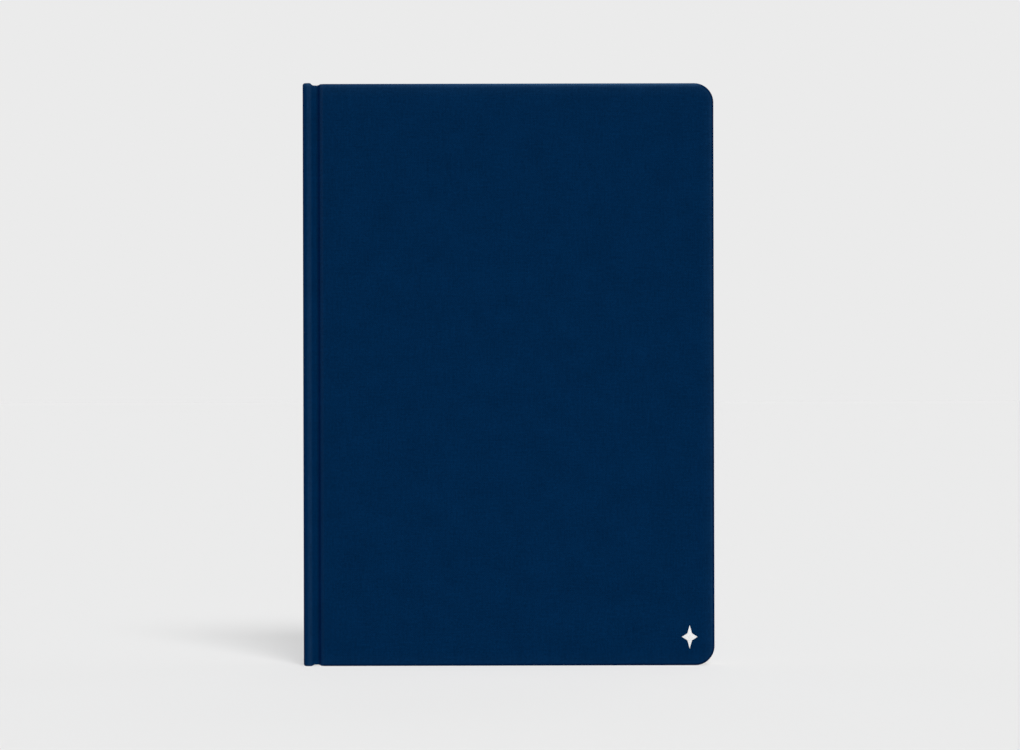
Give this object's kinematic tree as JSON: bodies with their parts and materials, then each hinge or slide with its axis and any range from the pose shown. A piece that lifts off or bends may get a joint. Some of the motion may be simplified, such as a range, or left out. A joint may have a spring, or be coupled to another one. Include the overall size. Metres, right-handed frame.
{
  "type": "hardcover logbook",
  "caption": "Portrait A5 hardcover logbook in navy cloth with a flat spine, pressed joints, rounded fore-edge corners and a sewn block of leaves that turn with the covers.",
  "frame": {"origin": "centre of the tail end that the standing book rests on", "axes": "+X from the spine to the fore edge, +Y from the front cover to the back cover, +Z from tail to head"},
  "size_m": [0.148, 0.0151, 0.21],
  "materials": {
    "navy_cloth": "fine woven book cloth",
    "greyboard": "raw greyboard",
    "endpaper": "smooth uncoated",
    "page_paper": "uncoated cream",
    "mull_weave": "open weave",
    "linen_thread": "waxed thread",
    "white_foil": "matt stamping foil"
  },
  "bodies": {
    "spine": {"spine_cloth": "navy_cloth", "spine_board": "greyboard", "spine_lining": "endpaper", "spine_mull": "mull_weave", "sewing_thread": "linen_thread", "head_band": "linen_thread", "tail_band": "linen_thread"},
    "front_cover": {"front_cover_cloth": "navy_cloth", "front_cover_board": "greyboard", "front_joint_cloth": "navy_cloth", "front_pastedown": "endpaper", "foil_emblem": "white_foil"},
    "back_cover": {"back_cover_cloth": "navy_cloth", "back_cover_board": "greyboard", "back_joint_cloth": "navy_cloth", "back_pastedown": "endpaper"},
    "front_flyleaf": {"front_flyleaf": "endpaper"},
    "back_flyleaf": {"back_flyleaf": "endpaper"},
    "section_01": {"section_01": "page_paper"},
    "section_02": {"section_02": "page_paper"},
    "section_03": {"section_03": "page_paper"},
    "section_04": {"section_04": "page_paper"},
    "section_05": {"section_05": "page_paper"},
    "section_06": {"section_06": "page_paper"},
    "section_07": {"section_07": "page_paper"},
    "section_08": {"section_08": "page_paper"},
    "section_09": {"section_09": "page_paper"},
    "section_10": {"section_10": "page_paper"},
    "section_11": {"section_11": "page_paper"},
    "section_12": {"section_12": "page_paper"},
    "section_13": {"section_13": "page_paper"},
    "section_14": {"section_14": "page_paper"},
    "section_15": {"section_15": "page_paper"},
    "section_16": {"section_16": "page_paper"},
    "section_17": {"section_17": "page_paper"},
    "section_18": {"section_18": "page_paper"}
  },
  "joints": [
    {"name": "front_cover_hinge", "type": "hinge", "parent": "spine", "child": "front_cover", "pos_m": [-0.0712, -0.0074, 0.105], "axis": [0, 0, -1], "range_deg": [0, 178]},
    {"name": "back_cover_hinge", "type": "hinge", "parent": "spine", "child": "back_cover", "pos_m": [-0.0712, 0.0074, 0.105], "axis": [0, 0, 1], "range_deg": [0, 178]},
    {"name": "front_flyleaf_turn", "type": "hinge", "parent": "spine", "child": "front_flyleaf", "pos_m": [-0.0712, -0.0074, 0.105], "axis": [0, 0, -1], "range_deg": [0, 164]},
    {"name": "back_flyleaf_turn", "type": "hinge", "parent": "spine", "child": "back_flyleaf", "pos_m": [-0.0712, 0.0074, 0.105], "axis": [0, 0, 1], "range_deg": [0, 164]},
    {"name": "section_01_turn", "type": "hinge", "parent": "spine", "child": "section_01", "pos_m": [-0.0712, -0.0074, 0.105], "axis": [0, 0, -1], "range_deg": [0, 154]},
    {"name": "section_02_turn", "type": "hinge", "parent": "spine", "child": "section_02", "pos_m": [-0.0712, -0.0074, 0.105], "axis": [0, 0, -1], "range_deg": [0, 136]},
    {"name": "section_03_turn", "type": "hinge", "parent": "spine", "child": "section_03", "pos_m": [-0.0712, -0.0074, 0.105], "axis": [0, 0, -1], "range_deg": [0, 118]},
    {"name": "section_04_turn", "type": "hinge", "parent": "spine", "child": "section_04", "pos_m": [-0.0712, -0.0074, 0.105], "axis": [0, 0, -1], "range_deg": [0, 100]},
    {"name": "section_05_turn", "type": "hinge", "parent": "spine", "child": "section_05", "pos_m": [-0.0712, -0.0074, 0.105], "axis": [0, 0, -1], "range_deg": [0, 82]},
    {"name": "section_06_turn", "type": "hinge", "parent": "spine", "child": "section_06", "pos_m": [-0.0712, -0.0074, 0.105], "axis": [0, 0, -1], "range_deg": [0, 65]},
    {"name": "section_07_turn", "type": "hinge", "parent": "spine", "child": "section_07", "pos_m": [-0.0712, -0.0074, 0.105], "axis": [0, 0, -1], "range_deg": [0, 47]},
    {"name": "section_08_turn", "type": "hinge", "parent": "spine", "child": "section_08", "pos_m": [-0.0712, -0.0074, 0.105], "axis": [0, 0, -1], "range_deg": [0, 29]},
    {"name": "section_09_turn", "type": "hinge", "parent": "spine", "child": "section_09", "pos_m": [-0.0712, -0.0074, 0.105], "axis": [0, 0, -1], "range_deg": [0, 11]},
    {"name": "section_18_turn", "type": "hinge", "parent": "spine", "child": "section_18", "pos_m": [-0.0712, 0.0074, 0.105], "axis": [0, 0, 1], "range_deg": [0, 154]},
    {"name": "section_17_turn", "type": "hinge", "parent": "spine", "child": "section_17", "pos_m": [-0.0712, 0.0074, 0.105], "axis": [0, 0, 1], "range_deg": [0, 136]},
    {"name": "section_16_turn", "type": "hinge", "parent": "spine", "child": "section_16", "pos_m": [-0.0712, 0.0074, 0.105], "axis": [0, 0, 1], "range_deg": [0, 118]},
    {"name": "section_15_turn", "type": "hinge", "parent": "spine", "child": "section_15", "pos_m": [-0.0712, 0.0074, 0.105], "axis": [0, 0, 1], "range_deg": [0, 100]},
    {"name": "section_14_turn", "type": "hinge", "parent": "spine", "child": "section_14", "pos_m": [-0.0712, 0.0074, 0.105], "axis": [0, 0, 1], "range_deg": [0, 82]},
    {"name": "section_13_turn", "type": "hinge", "parent": "spine", "child": "section_13", "pos_m": [-0.0712, 0.0074, 0.105], "axis": [0, 0, 1], "range_deg": [0, 65]},
    {"name": "section_12_turn", "type": "hinge", "parent": "spine", "child": "section_12", "pos_m": [-0.0712, 0.0074, 0.105], "axis": [0, 0, 1], "range_deg": [0, 47]},
    {"name": "section_11_turn", "type": "hinge", "parent": "spine", "child": "section_11", "pos_m": [-0.0712, 0.0074, 0.105], "axis": [0, 0, 1], "range_deg": [0, 29]},
    {"name": "section_10_turn", "type": "hinge", "parent": "spine", "child": "section_10", "pos_m": [-0.0712, 0.0074, 0.105], "axis": [0, 0, 1], "range_deg": [0, 11]}
  ],
  "couplings": [
    {"joint": "front_flyleaf_turn", "follows": "front_cover_hinge", "ratio": 0.92},
    {"joint": "back_flyleaf_turn", "follows": "back_cover_hinge", "ratio": 0.92},
    {"joint": "section_01_turn", "follows": "front_cover_hinge", "ratio": 0.86},
    {"joint": "section_02_turn", "follows": "front_cover_hinge", "ratio": 0.76},
    {"joint": "section_03_turn", "follows": "front_cover_hinge", "ratio": 0.66},
    {"joint": "section_04_turn", "follows": "front_cover_hinge", "ratio": 0.56},
    {"joint": "section_05_turn", "follows": "front_cover_hinge", "ratio": 0.46},
    {"joint": "section_06_turn", "follows": "front_cover_hinge", "ratio": 0.36},
    {"joint": "section_07_turn", "follows": "front_cover_hinge", "ratio": 0.26},
    {"joint": "section_08_turn", "follows": "front_cover_hinge", "ratio": 0.16},
    {"joint": "section_09_turn", "follows": "front_cover_hinge", "ratio": 0.06},
    {"joint": "section_18_turn", "follows": "back_cover_hinge", "ratio": 0.86},
    {"joint": "section_17_turn", "follows": "back_cover_hinge", "ratio": 0.76},
    {"joint": "section_16_turn", "follows": "back_cover_hinge", "ratio": 0.66},
    {"joint": "section_15_turn", "follows": "back_cover_hinge", "ratio": 0.56},
    {"joint": "section_14_turn", "follows": "back_cover_hinge", "ratio": 0.46},
    {"joint": "section_13_turn", "follows": "back_cover_hinge", "ratio": 0.36},
    {"joint": "section_12_turn", "follows": "back_cover_hinge", "ratio": 0.26},
    {"joint": "section_11_turn", "follows": "back_cover_hinge", "ratio": 0.16},
    {"joint": "section_10_turn", "follows": "back_cover_hinge", "ratio": 0.06}
  ]
}
